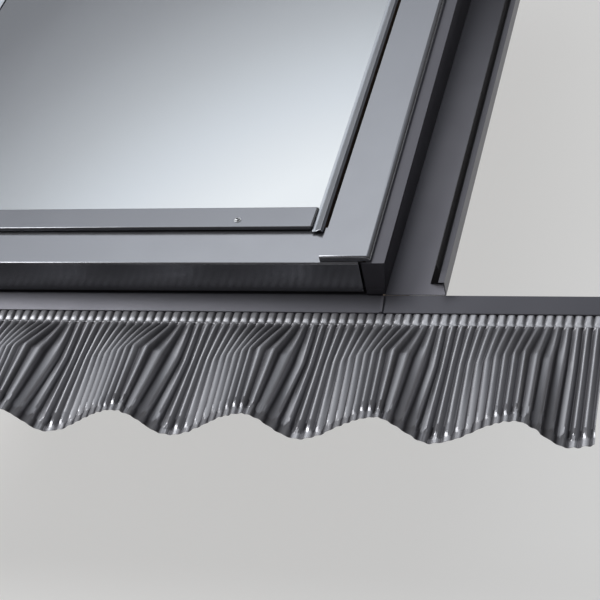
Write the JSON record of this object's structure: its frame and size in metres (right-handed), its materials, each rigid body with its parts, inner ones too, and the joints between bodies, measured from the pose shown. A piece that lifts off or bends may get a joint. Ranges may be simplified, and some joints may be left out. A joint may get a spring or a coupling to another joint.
{
  "type": "roof window",
  "caption": "Centre-pivot roof window with timber frame, glazed sash, metal covers, side gutters and a pleated apron shaped to a wavy roof covering.",
  "frame": {"origin": "middle of the four batten fixing holes, on the underside of the mounting brackets", "axes": "+X along the eaves, to the right seen from outside; +Y up the slope; +Z out of the roof"},
  "size_m": [1.3116, 1.5107, 0.1779],
  "materials": {
    "pine": "clear lacquered pine",
    "cover_metal": "satin powder coat",
    "flashing_metal": "matt coated sheet",
    "apron_metal": "matt coated pleated sheet",
    "glazing_metal": "satin",
    "glass": "coated insulating glass",
    "spacer": "mill finish",
    "gasket": "matt",
    "black_plastic": "fine grain",
    "steel": "zinc plated",
    "bar_metal": "anodised",
    "foam": "open-cell foam",
    "filter": "non-woven"
  },
  "bodies": {
    "frame": {"frame_jamb_right": "pine", "frame_jamb_left": "pine", "frame_sill": "pine", "frame_head": "pine", "bottom_frame_cover": "cover_metal", "head_cover": "cover_metal", "top_hood": "cover_metal", "lower_side_cover_right": "cover_metal", "lower_side_cover_left": "cover_metal", "upper_side_cover_right": "cover_metal", "upper_side_cover_left": "cover_metal", "bottom_flashing": "flashing_metal", "top_flashing": "flashing_metal", "side_flashing_right": "flashing_metal", "side_flashing_left": "flashing_metal", "corner_seam_right": "flashing_metal", "corner_seam_left": "flashing_metal", "pleated_apron": "apron_metal", "sill_gasket": "gasket", "head_gasket": "gasket", "side_gasket_right": "gasket", "side_gasket_left": "gasket", "barrel_bolt_bush": "black_plastic", "strike_plate": "steel", "bracket_screws": "steel", "pivot_frame_right": "steel", "pivot_frame_left": "steel", "bracket_lower_left": "steel", "bracket_lower_right": "steel", "bracket_upper_left": "steel", "bracket_upper_right": "steel", "top_foam": "foam", "side_foam_right": "foam", "side_foam_left": "foam"},
    "sash": {"sash_stile_right": "pine", "sash_stile_left": "pine", "sash_bottom_rail": "pine", "sash_top_rail": "pine", "glazing_gasket": "gasket", "inner_pane": "glass", "spacer_frame": "spacer", "outer_pane": "glass", "glazing_profile_right": "glazing_metal", "glazing_profile_left": "glazing_metal", "sash_bottom_cover": "cover_metal", "sash_end_cap_right": "black_plastic", "sash_end_cap_left": "black_plastic", "sash_cover_screws": "steel", "sash_top_cover": "cover_metal", "pivot_sash_right": "steel", "pivot_sash_left": "steel", "latch_case": "black_plastic", "air_filter": "filter", "barrel_bolt_guide": "steel"},
    "vent": {"ventilation_flap": "pine", "control_bar": "bar_metal", "bar_arm_right": "bar_metal", "bar_arm_left": "bar_metal"},
    "latch": {"latch_bolt": "steel"},
    "barrel": {"barrel_bolt": "steel"}
  },
  "joints": [
    {"name": "sash_pivot", "type": "hinge", "parent": "frame", "child": "sash", "pos_m": [0, 0, 0.06], "axis": [-1, 0, 0], "range_deg": [0, 160]},
    {"name": "flap_hinge", "type": "hinge", "parent": "sash", "child": "vent", "pos_m": [0, 0.5065, 0.027], "axis": [-1, 0, 0], "range_deg": [0, 35]},
    {"name": "latch_slide", "type": "slide", "parent": "sash", "child": "latch", "axis": [0, -1, 0], "range_m": [0, 0.011]},
    {"name": "barrel_slide", "type": "slide", "parent": "sash", "child": "barrel", "axis": [1, 0, 0], "range_m": [0, 0.022]}
  ],
  "couplings": [
    {"joint": "latch_slide", "follows": "flap_hinge", "m_per_rad": 0.018}
  ]
}
